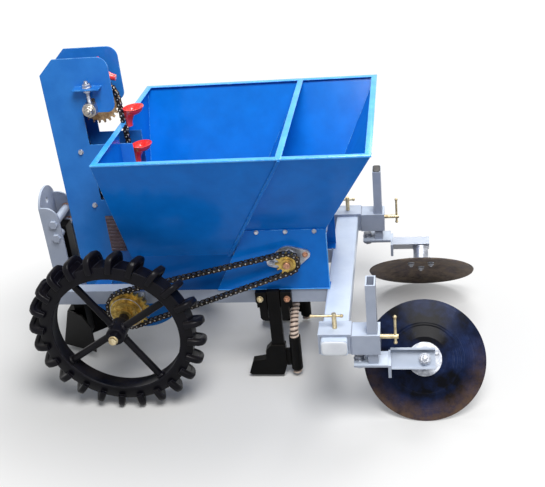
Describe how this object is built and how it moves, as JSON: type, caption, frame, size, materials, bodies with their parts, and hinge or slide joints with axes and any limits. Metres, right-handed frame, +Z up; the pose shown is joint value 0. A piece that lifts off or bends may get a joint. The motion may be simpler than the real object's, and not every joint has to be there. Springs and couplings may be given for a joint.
{
  "type": "potato planter",
  "caption": "Single-row potato planter for a small tractor: cup elevator, seed and fertilizer hoppers, lugged wheels, chain drive and ridging discs.",
  "frame": {"origin": "bottom centre of the whole machine as it parks: the floor under its wheels and discs, midway between its front and rear ends", "axes": "+X rearward, away from the tractor; +Y to the machine's right; +Z up"},
  "size_m": [1.33, 0.79, 0.981],
  "materials": {
    "blue_sheet": "gloss",
    "elevator_blue": "gloss",
    "frame_grey": "satin",
    "wheel_black": "satin",
    "opener_black": "satin",
    "disc_dark": "gloss",
    "chain_steel": "oiled",
    "zinc_yellow": "satin",
    "zinc_white": "satin",
    "cup_red": "gloss",
    "hose_grey": "ribbed",
    "rotor_black": "moulded"
  },
  "bodies": {
    "chassis": {"drive_chain": "chain_steel", "elevator_boot": "elevator_blue", "elevator_brackets": "elevator_blue", "elevator_chain": "chain_steel", "elevator_cover": "elevator_blue", "fertilizer_hopper": "blue_sheet", "fertilizer_trough": "blue_sheet", "front_crossmember": "frame_grey", "furrow_opener": "opener_black", "hitch_channel": "frame_grey", "hopper_supports": "blue_sheet", "left_axle_bearing": "zinc_white", "left_chain_tensioner": "zinc_white", "left_clamp_sleeve": "frame_grey", "left_elevator_plate": "elevator_blue", "left_fertilizer_hose": "hose_grey", "left_fertilizer_opener": "opener_black", "left_post_screw": "zinc_yellow", "left_rail": "frame_grey", "left_shaft_bearing": "zinc_white", "left_side_panel": "blue_sheet", "left_sleeve_screw": "zinc_yellow", "potato_hopper": "blue_sheet", "rear_crossbar": "frame_grey", "right_axle_bearing": "zinc_white", "right_chain_tensioner": "zinc_white", "right_clamp_sleeve": "frame_grey", "right_elevator_plate": "elevator_blue", "right_fertilizer_hose": "hose_grey", "right_fertilizer_opener": "opener_black", "right_post_screw": "zinc_yellow", "right_rail": "frame_grey", "right_shaft_bearing": "zinc_white", "right_side_panel": "blue_sheet", "right_sleeve_screw": "zinc_yellow", "seed_cups": "cup_red", "shank_bolts": "frame_grey"},
    "axle": {"wheel_axle": "wheel_black", "left_wheel": "wheel_black", "right_wheel": "wheel_black", "drive_sprocket": "zinc_yellow", "elevator_lower_sprocket": "chain_steel"},
    "metering_shaft": {"fertilizer_shaft": "zinc_white", "shaft_sprocket": "zinc_yellow", "left_metering_rotor": "rotor_black", "right_metering_rotor": "rotor_black"},
    "elevator_head": {"elevator_head_shaft": "zinc_white", "elevator_head_sprocket": "chain_steel"},
    "left_post": {"left_disc_post": "frame_grey"},
    "right_post": {"right_disc_post": "frame_grey"},
    "left_arm": {"left_disc_arm": "frame_grey"},
    "right_arm": {"right_disc_arm": "frame_grey"},
    "left_ridging_disc": {"left_disc": "disc_dark", "left_disc_hub": "zinc_white"},
    "right_ridging_disc": {"right_disc": "disc_dark", "right_disc_hub": "zinc_white"}
  },
  "joints": [
    {"name": "wheel_roll", "type": "hinge", "parent": "chassis", "child": "axle", "pos_m": [-0.36, 0, 0.25518], "axis": [0, 1, 0], "continuous": true},
    {"name": "metering_spin", "type": "hinge", "parent": "chassis", "child": "metering_shaft", "pos_m": [0.12546, 0, 0.40175], "axis": [0, 1, 0], "continuous": true},
    {"name": "elevator_head_spin", "type": "hinge", "parent": "chassis", "child": "elevator_head", "pos_m": [-0.39, 0, 0.84179], "axis": [0, 1, 0], "continuous": true},
    {"name": "left_post_slide", "type": "slide", "parent": "chassis", "child": "left_post", "axis": [0, 0, 1], "range_m": [-0.1, 0.03]},
    {"name": "left_toe_turn", "type": "hinge", "parent": "left_post", "child": "left_arm", "pos_m": [0.324, -0.341, 0.196], "axis": [0, 0, 1], "range_deg": [-15, 15]},
    {"name": "left_disc_spin", "type": "hinge", "parent": "left_arm", "child": "left_ridging_disc", "pos_m": [0.497, -0.27, 0.14896], "axis": [0, -0.788, 0.6157], "continuous": true},
    {"name": "right_post_slide", "type": "slide", "parent": "chassis", "child": "right_post", "axis": [0, 0, 1], "range_m": [-0.1, 0.03]},
    {"name": "right_toe_turn", "type": "hinge", "parent": "right_post", "child": "right_arm", "pos_m": [0.324, 0.341, 0.196], "axis": [0, 0, 1], "range_deg": [-15, 15]},
    {"name": "right_disc_spin", "type": "hinge", "parent": "right_arm", "child": "right_ridging_disc", "pos_m": [0.497, 0.27, 0.13831], "axis": [0, 0.7071, 0.7071], "continuous": true}
  ],
  "couplings": [
    {"joint": "metering_spin", "follows": "wheel_roll", "ratio": 2},
    {"joint": "elevator_head_spin", "follows": "wheel_roll", "ratio": 1}
  ]
}
